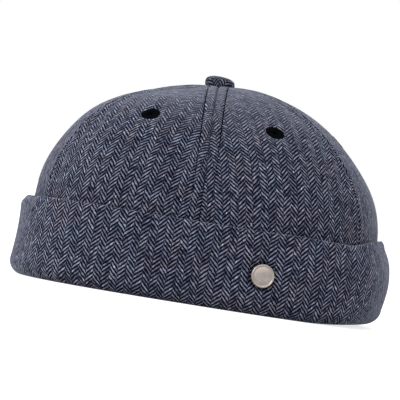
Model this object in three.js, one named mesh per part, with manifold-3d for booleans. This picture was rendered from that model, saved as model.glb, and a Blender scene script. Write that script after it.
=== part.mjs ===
// A docker beanie: a close six-panel cap of herringbone cloth with a turned-up band and no peak.
// Millimetres, +Z up, front at -Y, +X towards the wearer's left. The band's folded rim stands on Z = 0.

import * as THREE from 'three';
import { mergeVertices } from 'three/addons/utils/BufferGeometryUtils.js';
import Module from 'manifold-3d';

const wasm = await Module();
wasm.setup();

// Crown: half width and half length at the widest line, how square the oval is, 2 for an ellipse,
// and how far it narrows to the front
const HALF_WIDTH = 87;
const HALF_LENGTH = 92.6;
const SQUARENESS = 2.6;
const EGG = 0.03;

// Crown: height where the straight wall turns into the dome, height of the apex and the cloth
const SPRING_Z = 31.5;
const APEX_Z = 108;
const CROWN_CLOTH = 1.8;
const CROWN_FOOT_Z = 2.9;

// Crown: how full the dome is, 2 for an ellipse, with what the wearer's left side adds
const FULLNESS = 2.08;
const FULLNESS_LEFT = 0.28;

// Crown: how far the apex leans off the middle, towards the wearer's right
const LEAN = 4.1;

// Six panels, about equally wide round the oval: the azimuths of their seams, the gap between two
// of them, and how much flatter a panel is than the oval
const SEAMS = [0, 56.7, 120.5, 180, 239.5, 303.3, 360];
const SEAM_GAP = 0.3;
const PANEL_FLATTENING = 0.012;
const FLAT_FROM_LEVEL = 0.6;
const TIP_RADIUS = 2.3;

// Turned-up band: its height, its cloth, the round of its upper edge and the hem inside
const CUFF_HEIGHT = 40.2;
const CUFF_CLOTH = 3;
const CUFF_EDGE_ROUND = 1.5;
const HEM_HEIGHT = 14;
const HEM_CLOTH = 1.6;
const HEM_FACE = -2.1;
const FOLD_THICKNESS = 2.5;
const FOLD_INNER_ROUND = 1;
const POCKET_CORNER = 0.5;
const POCKET_MIDDLE_Z = 20;
const CLEARANCE = 0.35;
const FACET_SAG = 0.4;

// Band round the cap: how far its outer face stands off the crown at the top and at the bottom,
// how far it bulges between, and how wide and high its lower edge is rounded
const CUFF_SIDES = [
  { side: 'front', top: 5.0, bottom: 6.8, bulge: 0.4, wide: 5.0, high: 6.0 },
  { side: 'left', top: 3.9, bottom: 6.8, bulge: 3.1, wide: 7.7, high: 8.1 },
  { side: 'back', top: 5.0, bottom: 6.6, bulge: 0.8, wide: 5.0, high: 6.0 },
  { side: 'right', top: 6.3, bottom: 7.0, bulge: -1.0, wide: 6.0, high: 6.9 },
];

// The rim clears the ground at the wearer's left, where this share of the half width is passed
const RIM_LIFT = 2.1;
const RIM_LIFT_FROM = 0.6;

// Soft dents and swells of the crown: azimuth from the front and height, their reach along the
// cap and up it, and how far the cloth goes in
const DENTS = [
  { azimuth: -85, height: 101, along: 60, up: 9, depth: 0.8 },
  { azimuth: -88, height: 84, along: 45, up: 16, depth: -1.5 },
  { azimuth: -88, height: 58, along: 45, up: 16, depth: -1.0 },
  { azimuth: 82, height: 101, along: 60, up: 9, depth: -0.9 },
  { azimuth: 88, height: 82, along: 40, up: 16, depth: 0.9 },
  { azimuth: 85, height: 60, along: 40, up: 16, depth: -0.5 },
  { azimuth: -45, height: 106, along: 50, up: 6, depth: 1.6 },
  { azimuth: 45, height: 106, along: 50, up: 6, depth: -0.8 },
  { azimuth: 150, height: 66, along: 34, up: 24, depth: 1.0 },
  { azimuth: -148, height: 72, along: 34, up: 22, depth: 1.1 },
  { azimuth: -28, height: 62, along: 26, up: 18, depth: -0.4 },
];

// The dents start this far up the dome and end where it has shrunk to this share of the oval
const DENTS_FROM_LEVEL = 0.15;
const DENTS_TO_REACH = 0.25;

// Top button: a covered dome on a shank that runs through the crown to a small back plate. The
// faces of the trims are given as shares of their radius and height
const BUTTON_RADIUS = 7.6;
const BUTTON_HEIGHT = 5.2;
const BUTTON_BASE = 0.5;
const BUTTON_TILT = 3;
const BUTTON_FACE = [
  { out: 0.88, up: 0 },
  { out: 1, up: 0.23 },
  { out: 0.99, up: 0.51 },
  { out: 0.82, up: 0.83 },
  { out: 0.5, up: 0.95 },
  { out: 0, up: 1 },
];
const SHANK_RADIUS = 1.7;
const BACK_PLATE_RADIUS = 4;
const BACK_PLATE_THICKNESS = 0.8;

// Vent eyelets: one in the middle of each panel, with their height on the dome. The face's shares
// out run from the bore to the outer edge
const EYELET_RADIUS = 4.9;
const EYELET_THICKNESS = 0.6;
const EYELET_BARREL = 2.4;
const EYELET_BACK_RADIUS = 3.6;
const EYELET_BACK_THICKNESS = 0.6;
const EYELET_BORE = 1.2;
const EYELET_HOLE = 2.75;
const EYELET_FACE = [
  { out: 1, up: 0 },
  { out: 0.92, up: 0.7 },
  { out: 0.5, up: 1 },
  { out: 0, up: 0.55 },
];
const EYELET_RISE = 0.523;

// Stud: a domed metal cap on the band, with its post and back plate
const STUD_RADIUS = 5.8;
const STUD_HEIGHT = 2.1;
const STUD_AZIMUTH = 20.6;
const STUD_Z = 19;
const STUD_POST = 1.6;
const STUD_HOLE = 1.95;
const STUD_BACK_RADIUS = 3.4;
const STUD_BACK_THICKNESS = 0.7;
const STUD_FACE = [
  { out: 0.93, up: 0 },
  { out: 1, up: 0.24 },
  { out: 0.96, up: 0.52 },
  { out: 0.75, up: 0.8 },
  { out: 0.4, up: 0.97 },
  { out: 0, up: 1 },
];

// Facets
const PANEL_COLUMNS = 8;
const WALL_ROWS = 2;
const DOME_ROWS = 9;
const CUFF_SECTIONS = 60;
const ROUND_SIDES = 20;
const EYELET_SIDES = 16;
const CUFF_FACE_STEPS = 5;
const ROW_CROWDING = 0.9;
const NORMAL_STEP = 0.004;
const WELD = 1e-5;
const PUNCH_LENGTH = 16;

const CLOTH = { color: 0x3d4053, roughness: 0.95, metalness: 0 };
const CLOTH_DEEP = { color: 0x333648, roughness: 0.95, metalness: 0 };
const THREAD = { color: 0x0b0b12, roughness: 0.9, metalness: 0 };
const METAL = { color: 0xb4aaa4, roughness: 0.32, metalness: 1 };

const radians = THREE.MathUtils.degToRad;

// Where an azimuth lies across its panel, from 0 at one seam to 1 at the next
function acrossPanel(azimuth) {
  const turn = THREE.MathUtils.euclideanModulo(THREE.MathUtils.radToDeg(azimuth), 360);
  const index = SEAMS.findIndex((seam) => seam > turn) - 1;
  return (turn - SEAMS[index]) / (SEAMS[index + 1] - SEAMS[index]);
}

// Angle between two azimuths, from -PI to PI
function turnBetween(a, b) {
  return Math.atan2(Math.sin(a - b), Math.cos(a - b));
}

// How far the rim is off the ground at an azimuth
function rimLift(azimuth) {
  return RIM_LIFT * THREE.MathUtils.smoothstep(Math.sin(azimuth), RIM_LIFT_FROM, 1);
}

// How much each side of the cap counts at an azimuth; the four add up to 1
function sideWeights(azimuth) {
  const across = Math.sin(azimuth);
  const along = Math.cos(azimuth);
  return {
    front: along > 0 ? along * along : 0,
    left: across > 0 ? across * across : 0,
    back: along < 0 ? along * along : 0,
    right: across < 0 ? across * across : 0,
  };
}

// A point of the head oval, which is a little fuller at its corners than an ellipse
function ovalPoint(azimuth) {
  const across = Math.abs(Math.sin(azimuth) / HALF_WIDTH) ** SQUARENESS;
  const along = Math.abs(Math.cos(azimuth) / HALF_LENGTH) ** SQUARENESS;
  const reach = (across + along) ** (-1 / SQUARENESS);
  const narrow = 1 - EGG * Math.cos(azimuth);
  return { x: reach * Math.sin(azimuth) * narrow, y: -reach * Math.cos(azimuth) };
}

// A point of the head oval and the level direction that faces out of it
function oval(azimuth) {
  const { x, y } = ovalPoint(azimuth);
  const before = ovalPoint(azimuth - NORMAL_STEP);
  const after = ovalPoint(azimuth + NORMAL_STEP);
  const dx = after.x - before.x;
  const dy = after.y - before.y;
  const length = Math.hypot(dx, dy);
  return { x, y, outX: dy / length, outY: -dx / length };
}

// How far the crown's cloth goes in at an azimuth and a height
function dentDepth(azimuth, z) {
  let depth = 0;
  for (const dent of DENTS) {
    const along = turnBetween(azimuth, radians(dent.azimuth)) / radians(dent.along);
    const up = (z - dent.height) / dent.up;
    depth += dent.depth * Math.exp(-(along * along + up * up));
  }
  return depth;
}

// The crown's outer face. Level -1 is its foot, 0 the top of the straight wall and 1 the apex
function crownPoint(azimuth, level) {
  const full = FULLNESS + FULLNESS_LEFT * sideWeights(azimuth).left;
  const angle = Math.max(level, 0) * Math.PI / 2;
  const reach = Math.cos(angle) ** (2 / full);
  const rise = Math.sin(angle) ** (2 / full);
  const wallZ = SPRING_Z + Math.min(level, 0) * (SPRING_Z - CROWN_FOOT_Z - rimLift(azimuth));
  const z = wallZ + (APEX_Z - SPRING_Z) * rise;
  const { x, y, outX, outY } = oval(azimuth);
  const middle = Math.sin(Math.PI * acrossPanel(azimuth));
  const flat = 1 - PANEL_FLATTENING * middle * THREE.MathUtils.smoothstep(level, 0, FLAT_FROM_LEVEL);
  const below = THREE.MathUtils.smoothstep(level, 0, DENTS_FROM_LEVEL);
  const above = THREE.MathUtils.smoothstep(reach, 0, DENTS_TO_REACH);
  const dent = dentDepth(azimuth, z) * below * above;
  const lean = LEAN * (Math.max(z - SPRING_Z, 0) / (APEX_Z - SPRING_Z)) ** 2;
  return new THREE.Vector3(
    x * reach * flat - outX * dent * reach - lean,
    y * reach * flat - outY * dent * reach,
    z - dent * rise,
  );
}

// The way out of the crown's face at a point of it
function crownNormal(azimuth, level) {
  const along = crownPoint(azimuth + NORMAL_STEP, level).sub(crownPoint(azimuth - NORMAL_STEP, level));
  const above = crownPoint(azimuth, Math.min(level + NORMAL_STEP, 1));
  const up = above.sub(crownPoint(azimuth, level - NORMAL_STEP));
  return along.cross(up).normalize();
}

// A closed mesh from corner points and triangles, with flat faces
function meshGeometry(points, triangles) {
  const positions = new Float32Array(points.length * 3);
  points.forEach((point, i) => point.toArray(positions, i * 3));
  const geometry = new THREE.BufferGeometry();
  geometry.setAttribute('position', new THREE.BufferAttribute(positions, 3));
  geometry.setIndex(triangles);
  return geometry;
}

// Two triangles over four corners that run anticlockwise seen from outside
function pushQuad(triangles, a, b, c, d) {
  triangles.push(a, b, c, a, c, d);
}

// A sheet of cloth with thickness: a grid of outer points, inner ones below, and walls round it
function sheetGeometry(columns, rows, outerAt, innerAt) {
  const points = [];
  for (const at of [outerAt, innerAt]) {
    for (let row = 0; row <= rows; row += 1) {
      for (let column = 0; column <= columns; column += 1) {
        points.push(at(column / columns, row));
      }
    }
  }
  const outer = (column, row) => row * (columns + 1) + column;
  const inner = (column, row) => (rows + 1) * (columns + 1) + outer(column, row);
  const triangles = [];
  for (let row = 0; row < rows; row += 1) {
    for (let column = 0; column < columns; column += 1) {
      pushQuad(triangles, outer(column, row), outer(column + 1, row),
        outer(column + 1, row + 1), outer(column, row + 1));
      pushQuad(triangles, inner(column, row), inner(column, row + 1),
        inner(column + 1, row + 1), inner(column + 1, row));
    }
    pushQuad(triangles, inner(0, row), outer(0, row), outer(0, row + 1), inner(0, row + 1));
    pushQuad(triangles, outer(columns, row), inner(columns, row),
      inner(columns, row + 1), outer(columns, row + 1));
  }
  for (let column = 0; column < columns; column += 1) {
    pushQuad(triangles, inner(column, 0), inner(column + 1, 0), outer(column + 1, 0), outer(column, 0));
    pushQuad(triangles, outer(column, rows), outer(column + 1, rows),
      inner(column + 1, rows), inner(column, rows));
  }
  return meshGeometry(points, triangles);
}

// A closed ring through sections with the same number of points
function ringGeometry(sections) {
  const count = sections[0].length;
  const triangles = [];
  for (let s = 0; s < sections.length; s += 1) {
    const next = (s + 1) % sections.length;
    for (let p = 0; p < count; p += 1) {
      const q = (p + 1) % count;
      pushQuad(triangles, s * count + p, s * count + q, next * count + q, next * count + p);
    }
  }
  return meshGeometry(sections.flat(), triangles);
}

// A turned solid with its axis along Z
function turnedGeometry(profile, sides) {
  const lathe = new THREE.LatheGeometry(profile.map(([r, z]) => new THREE.Vector2(r, z)), sides);
  lathe.rotateX(Math.PI / 2);
  lathe.deleteAttribute('normal');
  lathe.deleteAttribute('uv');
  return mergeVertices(lathe, WELD);
}

function toSolid(geometry) {
  return new wasm.Manifold(new wasm.Mesh({
    numProp: 3,
    vertProperties: new Float32Array(geometry.attributes.position.array),
    triVerts: new Uint32Array(geometry.index.array),
  }));
}

function toGeometry(solid) {
  const mesh = solid.getMesh();
  const geometry = new THREE.BufferGeometry();
  geometry.setAttribute('position', new THREE.BufferAttribute(mesh.vertProperties, 3));
  geometry.setIndex(new THREE.BufferAttribute(mesh.triVerts, 1));
  return geometry;
}

// A round cutter through a wall at a seat, along the seat's own Z
function punch(geometry, seat, radius, sides) {
  const cutter = new THREE.CylinderGeometry(radius, radius, PUNCH_LENGTH, sides);
  cutter.rotateX(Math.PI / 2);
  cutter.deleteAttribute('normal');
  cutter.deleteAttribute('uv');
  const hole = mergeVertices(cutter, WELD);
  hole.applyMatrix4(seat);
  return toGeometry(toSolid(geometry).subtract(toSolid(hole)));
}

// The placement of a trim: its origin on the cloth and its Z out of the cloth
function seatAt(point, outward) {
  const turn = new THREE.Quaternion().setFromUnitVectors(new THREE.Vector3(0, 0, 1), outward);
  return new THREE.Matrix4().compose(point, turn, new THREE.Vector3(1, 1, 1));
}

// The level where the crown has shrunk to the small hole under the button
const TIP_LEVEL = 2 / Math.PI * Math.acos((TIP_RADIUS / HALF_WIDTH) ** (FULLNESS / 2));

function panelMiddle(index) {
  return radians((SEAMS[index] + SEAMS[index + 1]) / 2);
}

function rowLevel(row) {
  if (row < WALL_ROWS) return row / WALL_ROWS - 1;
  return TIP_LEVEL * Math.sin((row - WALL_ROWS) / DOME_ROWS * Math.PI / 2) ** ROW_CROWDING;
}

// One panel of the crown between two seams
function panelGeometry(index) {
  const middle = panelMiddle(index);
  const azimuthAt = (across, level) => {
    const tip = crownPoint(middle, 1);
    const radius = crownPoint(middle, level).sub(tip).setZ(0).length();
    const half = radians(SEAMS[index + 1] - SEAMS[index]) / 2 - SEAM_GAP / 2 / radius;
    return middle + (across * 2 - 1) * half;
  };
  const outerAt = (across, row) => {
    const level = rowLevel(row);
    return crownPoint(azimuthAt(across, level), level);
  };
  const innerAt = (across, row) => {
    const level = rowLevel(row);
    const azimuth = azimuthAt(across, level);
    return crownPoint(azimuth, level).addScaledVector(crownNormal(azimuth, level), -CROWN_CLOTH);
  };
  return sheetGeometry(PANEL_COLUMNS, WALL_ROWS + DOME_ROWS, outerAt, innerAt);
}

function eyeletSeat(index) {
  const middle = panelMiddle(index);
  return seatAt(crownPoint(middle, EYELET_RISE), crownNormal(middle, EYELET_RISE));
}

// The band's measures at an azimuth, blended from its four sides
function cuffMeasures(azimuth) {
  const weights = sideWeights(azimuth);
  const blended = { top: 0, bottom: 0, bulge: 0, wide: 0, high: 0 };
  for (const row of CUFF_SIDES) {
    for (const name of Object.keys(blended)) blended[name] += row[name] * weights[row.side];
  }
  return blended;
}

// The band's outer face: how far it stands off the crown's oval at a height
function cuffStandOff(azimuth, z) {
  const { top, bottom, bulge, high } = cuffMeasures(azimuth);
  const low = rimLift(azimuth) + high;
  const down = (CUFF_HEIGHT - CUFF_EDGE_ROUND - z) / (CUFF_HEIGHT - CUFF_EDGE_ROUND - low);
  return top + (bottom - top) * down + bulge * Math.sin(Math.PI * THREE.MathUtils.clamp(down, 0, 1));
}

// One section of the band: out of the pocket, over the upper edge, down the face, round the fold
function cuffSection(azimuth) {
  const { wide, high } = cuffMeasures(azimuth);
  const lift = rimLift(azimuth);
  const low = lift + high;
  const shoulder = CUFF_HEIGHT - CUFF_EDGE_ROUND;
  const floor = lift + FOLD_THICKNESS;
  const inside = (z) => Math.max(cuffStandOff(azimuth, Math.max(z, low)) - CUFF_CLOTH, CLEARANCE);
  const section = [];
  const add = (off, z) => section.push([off, z]);

  // Inner face of the turned-up leg, from the pocket's floor to the upper edge
  add(CLEARANCE, floor);
  add(Math.max(inside(low) - wide / 4, CLEARANCE), floor + POCKET_CORNER);
  for (const z of [low + CUFF_CLOTH / 2, POCKET_MIDDLE_Z, shoulder]) add(inside(z), z);

  // Upper edge
  const edgeMiddle = (inside(shoulder) + cuffStandOff(azimuth, shoulder)) / 2;
  const edgeHalf = (cuffStandOff(azimuth, shoulder) - inside(shoulder)) / 2;
  for (const angle of [135, 90, 45]) {
    const turn = radians(angle);
    add(edgeMiddle + edgeHalf * Math.cos(turn), shoulder + CUFF_EDGE_ROUND * Math.sin(turn));
  }

  // Outer face, down to where it starts to turn under
  for (let i = 0; i <= CUFF_FACE_STEPS; i += 1) {
    const z = shoulder + (low - shoulder) * i / CUFF_FACE_STEPS;
    add(cuffStandOff(azimuth, z), z);
  }

  // Rounded fold, down to the flat that the cap stands on
  const bottom = cuffStandOff(azimuth, low);
  for (const angle of [30, 60, 90]) {
    const turn = radians(angle);
    add(bottom - wide * (1 - Math.cos(turn)), low - high * Math.sin(turn));
  }
  const hemBack = HEM_FACE - HEM_CLOTH;
  add(hemBack + FOLD_INNER_ROUND, lift);
  add(hemBack, lift + FOLD_INNER_ROUND);

  // Hem inside the cap, and the pocket's floor
  add(hemBack, HEM_HEIGHT - HEM_CLOTH / 2);
  add(hemBack + HEM_CLOTH / 2, HEM_HEIGHT);
  add(HEM_FACE, HEM_HEIGHT - HEM_CLOTH / 2);
  add(HEM_FACE, floor);
  return section;
}

function cuffGeometry() {
  const sections = [];
  for (let i = 0; i < CUFF_SECTIONS; i += 1) {
    const azimuth = i / CUFF_SECTIONS * 2 * Math.PI;
    const { x, y, outX, outY } = oval(azimuth);
    sections.push(cuffSection(azimuth).map(
      ([off, z]) => new THREE.Vector3(x + outX * off, y + outY * off, z),
    ));
  }
  return ringGeometry(sections);
}

// Covered button, shank and back plate, from the underside's middle up to the dome's
function buttonGeometry() {
  const height = BUTTON_HEIGHT - BUTTON_BASE;
  const backTop = -CROWN_CLOTH - CLEARANCE - FACET_SAG;
  return turnedGeometry([
    [0, backTop - BACK_PLATE_THICKNESS],
    [BACK_PLATE_RADIUS, backTop - BACK_PLATE_THICKNESS],
    [BACK_PLATE_RADIUS, backTop],
    [SHANK_RADIUS, backTop],
    [SHANK_RADIUS, BUTTON_BASE],
    ...BUTTON_FACE.map(({ out, up }) => [BUTTON_RADIUS * out, BUTTON_BASE + height * up]),
  ], ROUND_SIDES);
}

// Eyelet: a worked ring on the cloth, its barrel through the hole and a smaller ring behind
function eyeletGeometry() {
  const width = EYELET_RADIUS - EYELET_BORE;
  const face = CLEARANCE;
  const back = -CROWN_CLOTH - CLEARANCE - FACET_SAG;
  return turnedGeometry([
    [EYELET_BORE, back - EYELET_BACK_THICKNESS],
    [EYELET_BACK_RADIUS, back - EYELET_BACK_THICKNESS],
    [EYELET_BACK_RADIUS, back],
    [EYELET_BARREL, back],
    [EYELET_BARREL, face],
    ...EYELET_FACE.map(({ out, up }) => [EYELET_BORE + width * out, face + EYELET_THICKNESS * up]),
    [EYELET_BORE, back - EYELET_BACK_THICKNESS],
  ], EYELET_SIDES);
}

// Stud: domed cap with a rolled edge, post through the band and a back plate in the pocket
function studGeometry() {
  const face = CLEARANCE;
  const back = -CUFF_CLOTH - CLEARANCE;
  return turnedGeometry([
    [0, back - STUD_BACK_THICKNESS],
    [STUD_BACK_RADIUS, back - STUD_BACK_THICKNESS],
    [STUD_BACK_RADIUS, back],
    [STUD_POST, back],
    [STUD_POST, face],
    ...STUD_FACE.map(({ out, up }) => [STUD_RADIUS * out, face + STUD_HEIGHT * up]),
  ], ROUND_SIDES);
}

function studSeat() {
  const azimuth = radians(STUD_AZIMUTH);
  const off = cuffStandOff(azimuth, STUD_Z);
  const { x, y, outX, outY } = oval(azimuth);
  const slope = cuffStandOff(azimuth, STUD_Z + 1) - cuffStandOff(azimuth, STUD_Z - 1);
  const outward = new THREE.Vector3(outX, outY, -slope / 2).normalize();
  return seatAt(new THREE.Vector3(x + outX * off, y + outY * off, STUD_Z), outward);
}

function buttonSeat() {
  const tilt = radians(BUTTON_TILT);
  return seatAt(new THREE.Vector3(-LEAN, 0, APEX_Z), new THREE.Vector3(Math.sin(tilt), 0, Math.cos(tilt)));
}

function addPiece(group, name, geometry, material, seat) {
  const piece = new THREE.Mesh(geometry, new THREE.MeshStandardMaterial(material));
  piece.name = name;
  if (seat) piece.applyMatrix4(seat);
  group.add(piece);
}

const PANEL_NAMES = ['front_left', 'side_left', 'back_left', 'back_right', 'side_right', 'front_right'];

const beanie = new THREE.Group();
PANEL_NAMES.forEach((place, index) => {
  const seat = eyeletSeat(index);
  const panel = punch(panelGeometry(index), seat, EYELET_HOLE, EYELET_SIDES);
  addPiece(beanie, `crown_panel_${place}`, panel, CLOTH);
  addPiece(beanie, `eyelet_${place}`, eyeletGeometry(), THREAD, seat);
});
addPiece(beanie, 'cuff', punch(cuffGeometry(), studSeat(), STUD_HOLE, EYELET_SIDES), CLOTH_DEEP);
addPiece(beanie, 'cuff_stud', studGeometry(), METAL, studSeat());
addPiece(beanie, 'top_button', buttonGeometry(), CLOTH, buttonSeat());

// The origin is under the middle of the cap's box
const middle = new THREE.Box3().setFromObject(beanie, true).getCenter(new THREE.Vector3());
beanie.position.set(-middle.x, -middle.y, 0);

export default beanie;
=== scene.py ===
"""A docker beanie in herringbone wool: six sewn panels, a turned-up band, eyelets, button and stud."""

import math

import bmesh
import bpy
import numpy as np
from mathutils import Matrix, Vector


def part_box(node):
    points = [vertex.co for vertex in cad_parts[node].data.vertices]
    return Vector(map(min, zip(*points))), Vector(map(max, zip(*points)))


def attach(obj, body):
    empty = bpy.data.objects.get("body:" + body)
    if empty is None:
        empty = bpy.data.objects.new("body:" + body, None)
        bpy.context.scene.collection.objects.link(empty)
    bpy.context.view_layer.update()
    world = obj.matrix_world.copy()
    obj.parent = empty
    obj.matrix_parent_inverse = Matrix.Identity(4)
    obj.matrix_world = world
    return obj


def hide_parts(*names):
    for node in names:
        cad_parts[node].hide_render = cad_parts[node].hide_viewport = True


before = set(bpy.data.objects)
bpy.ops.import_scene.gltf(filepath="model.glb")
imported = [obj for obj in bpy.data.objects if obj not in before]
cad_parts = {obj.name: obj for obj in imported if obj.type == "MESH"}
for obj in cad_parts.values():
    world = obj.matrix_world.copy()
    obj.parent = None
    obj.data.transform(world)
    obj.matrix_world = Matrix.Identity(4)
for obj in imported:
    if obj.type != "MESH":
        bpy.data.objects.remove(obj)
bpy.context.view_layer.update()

# The cap's own sizes are in millimetres, and its meshes in metres
MM = 0.001

# Crown: half width, half length, how square the oval is and how far it narrows to the front, then
# its heights, cloth, fullness and lean to the wearer's right
HALF_WIDTH = 87
HALF_LENGTH = 92.6
SQUARENESS = 2.6
EGG = 0.03
SPRING_Z = 31.5
APEX_Z = 108
CROWN_CLOTH = 1.8
CROWN_FOOT_Z = 2.9
FULLNESS = 2.08
FULLNESS_LEFT = 0.28
LEAN = 4.1

# The six panels, in order round the cap from the front seam
PANELS = ["front_left", "side_left", "back_left", "back_right", "side_right", "front_right"]
SEAMS = [0, 56.7, 120.5, 180, 239.5, 303.3, 360]
SEAM_GAP = 0.1
PANEL_FLATTENING = 0.012
FLAT_FROM_LEVEL = 0.6
TIP_RADIUS = 2.3

# Soft dents of the crown, and swells where the depth is less than nothing: each one's azimuth in
# degrees and its height, how far it reaches along and up, and its depth
DENTS = [
    (-85, 101, 60, 9, 0.8),
    (-88, 84, 45, 16, -1.5),
    (-88, 58, 45, 16, -1.0),
    (82, 101, 60, 9, -0.9),
    (88, 82, 40, 16, 0.9),
    (85, 60, 40, 16, -0.5),
    (-45, 106, 50, 6, 1.6),
    (45, 106, 50, 6, -0.8),
    (150, 66, 34, 24, 1.0),
    (-148, 72, 34, 22, 1.1),
    (-28, 62, 26, 18, -0.4),
]
DENTS_FROM_LEVEL = 0.15
DENTS_TO_REACH = 0.25

# How far apart two points of the crown are taken, in azimuth or level, to find its normal
NORMAL_STEP = 0.004

# Turned-up band: its height, cloth, hem and folded rim. Its upper edge has risen a little at the
# wearer's left and sunk at the right, and its outer corner rolls in at both sides
CUFF_HEIGHT = 40.2
EDGE_FALL = 3.2
EDGE_RISE = 3.8
EDGE_SINK = 1.1
EDGE_CHANGES_BETWEEN = (0.74, 0.97)
EDGE_ROLLS_IN = 1.7
ROLLS_IN_ABOVE_LEFT = 30
ROLLS_IN_ABOVE_RIGHT = 35.5
CUFF_CLOTH = 3
CUFF_EDGE_ROUND = 1.5
HEM_HEIGHT = 14
HEM_CLOTH = 1.6
HEM_FACE = -2.1
FOLD_THICKNESS = 2.5
FOLD_INNER_ROUND = 1
POCKET_CLEARANCE = 0.35
RIM_LIFT = 2.1
RIM_LIFT_FROM = 0.6

# How far the band stands off the crown on each side, its bulge and the round of its fold
CUFF_SIDES = {
    "front": {"top": 5.0, "bottom": 6.8, "bulge": 0.4, "wide": 5.0, "high": 6.0},
    "left": {"top": 3.9, "bottom": 6.8, "bulge": 3.1, "wide": 7.7, "high": 8.1},
    "back": {"top": 5.0, "bottom": 6.6, "bulge": 0.8, "wide": 5.0, "high": 6.0},
    "right": {"top": 6.3, "bottom": 7.0, "bulge": -1.0, "wide": 6.0, "high": 6.9},
}

# Seams of the crown: a narrow valley between two low ridges. The valley is shallower far from the
# apex, and all of it is lower at the apex, where the seams meet, and on the band's joining seam
VALLEY_DEPTH = 1.3
VALLEY_WIDTH = 0.34
VALLEY_SHALLOWER = 0.45
SHALLOWER_BETWEEN = (40, 75)
RIDGE_HEIGHT = 0.45
RIDGE_RISES_BETWEEN = (0.1, 1.3)
RIDGE_FALLS_BETWEEN = (3.2, 5.4)
RELIEF_AT_APEX = 0.3
APEX_RELIEF_BETWEEN = (4, 16)
BAND_SEAM_SHARE = 0.8

# The front and the back seam have a row of topstitching on each side, in a groove. It draws small
# puckers into the cloth, which are waves along the seam
TOPSTITCHED = [0, 180]
STITCH_ROW = 4.9
STITCH_LENGTH = 2.85
STITCH_PITCH = 2.9
PITCH_VARIES = (0.96, 1.04)
STITCH_SWAY = 0.04
GROOVE_DEPTH = 0.42
GROOVE_WIDTH = 0.42
GROOVE_BETWEEN = (6, 10)
PUCKER = 0.12
PUCKER_WAVES = (105, 171)
PUCKERS_BESIDE_ROW = 1.2
PUCKERS_REACH = 2.4
PUCKERS_BETWEEN = (10, 20)

# Thread of the topstitching. Each stitch bows up a little, and low on the crown it sinks in
THREAD_RADIUS = 0.33
THREAD_FLATNESS = 0.85
THREAD_SIDES = 8
STITCH_RINGS = 7
STITCH_BOW = 0.08
STITCH_LIFT = 0.02
STITCH_SINK = 0.24
SINK_BETWEEN = (64, 95)

# Gentle unevenness of the soft cloth: its longest wave and its height
CROWN_WAVES = {"longest": 55, "height": 0.28}
BAND_WAVES = {"longest": 48, "height": 0.3}
EDGE_WAVES = {"longest": 70, "height": 0.25}
WAVE_COUNT = 7
WAVE_SEED = 11

# Trims
EYELET_RISE = 0.523
EYELET_RADIUS = 4.9
EYELET_HOLE = 1.1
EYELET_STITCHES = 44
EYELET_DIMPLE = 0.4
DIMPLE_WIDTH = 3
PUNCHED_RADIUS = 2.4
BUTTON_RADIUS = 7.6
BUTTON_HEIGHT = 5.2
BUTTON_TILT = 3
STUD_AZIMUTH = 20.6
STUD_Z = 19
STUD_RADIUS = 5.8
STUD_DIMPLE = 2.3
STUD_DIMPLE_FROM = 0.3
STUD_DIMPLE_TO = 1.6

# Herringbone: how wide a column of the weave is, the pitch of its lines and their slope
COLUMN_WIDTH = 3.75
LINE_PITCH = 2.17
LINE_SLOPE = 1.02
YARN_WIDTH = COLUMN_WIDTH / 7
BUTTON_CLOTH_MIDDLE = (11.08 * COLUMN_WIDTH, 40)
BAND_SKEW = 0.065
BAND_CLOTH_TOP = 300
CROWN_STRETCH = 1.07

# Higher up the cloth than this, the columns of the front and back panels bend away from the front
# or the back seam
GRAIN_BEND = {"front_left": -0.0012, "front_right": 0.0012, "back_left": 0.0012, "back_right": -0.0012}
GRAIN_BENDS_FROM = 49

# How far the columns wander slowly, and quickly across and along them, how much of a line goes in
# steps from yarn to yarn, and between which distances from its middle a line fades out
WANDER = 1.6
QUICK_WANDER = (0.4, 0.8)
STEPPED_SHARE = 0.35
LINE_FADES_BETWEEN = (0.13, 0.28)

# How finely the cloth is meshed, with lines of points this far from a panel's edges, and how near
# two points are, in metres, to become one
PANEL_ROWS = 116
WALL_ROWS = 16
CUFF_SECTIONS = 480
INNER_COLUMNS = 24
FROM_SEAM = [
    0, 0.14, 0.32, 0.55, 0.9, 1.4, 2.1, 2.9, 3.6, 4.1, 4.4, 4.65, 4.85, 5.05, 5.3, 5.7, 6.4, 7.4, 8.8,
]
NARROW_PANEL = 13
BEND_SMOOTHED_OVER = 9
LEAST_BEND = 1e-5
SEWN_WITHIN = 2e-7

# Colours of the yarns, the pale fuzz over them, which also paints light on cloth that faces up, and the
# pale flecks between them
YARNS = {
    "Ground": (0.0012, 0.0022, 0.0105),
    "Line": (0.054, 0.061, 0.097),
    "Bright line": (0.305, 0.322, 0.405),
}
FUZZ_AND_PAINTED_LIGHT_COLOUR = (0.14, 0.15, 0.19, 1)
FLECK_COLOUR = (0.5, 0.5, 0.58, 1)
COOLER_DYE = (0.94, 1.0, 1.035, 1)
WARMER_DYE = (1.065, 0.98, 0.975, 1)

# The pale nap grows from its least to its most as the cloth turns this far upwards: real fuzz, with
# painted light from above over it
NAP_AND_PAINTED_TOP_LIGHT_BETWEEN = (0.68, 1.03)

rng = np.random.default_rng(7)


def smoothstep(value, low, high):
    share = np.clip((value - low) / (high - low), 0, 1)
    return share * share * (3 - 2 * share)


def side_weights(azimuth):
    """How much each side of the cap counts at an azimuth; the four add up to 1."""
    across, along = np.sin(azimuth), np.cos(azimuth)
    return {
        "front": np.where(along > 0, along**2, 0),
        "left": np.where(across > 0, across**2, 0),
        "back": np.where(along < 0, along**2, 0),
        "right": np.where(across < 0, across**2, 0),
    }


def rim_lift(azimuth):
    """How far the rim is off the ground at an azimuth."""
    return RIM_LIFT * smoothstep(np.sin(azimuth), RIM_LIFT_FROM, 1)


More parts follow.
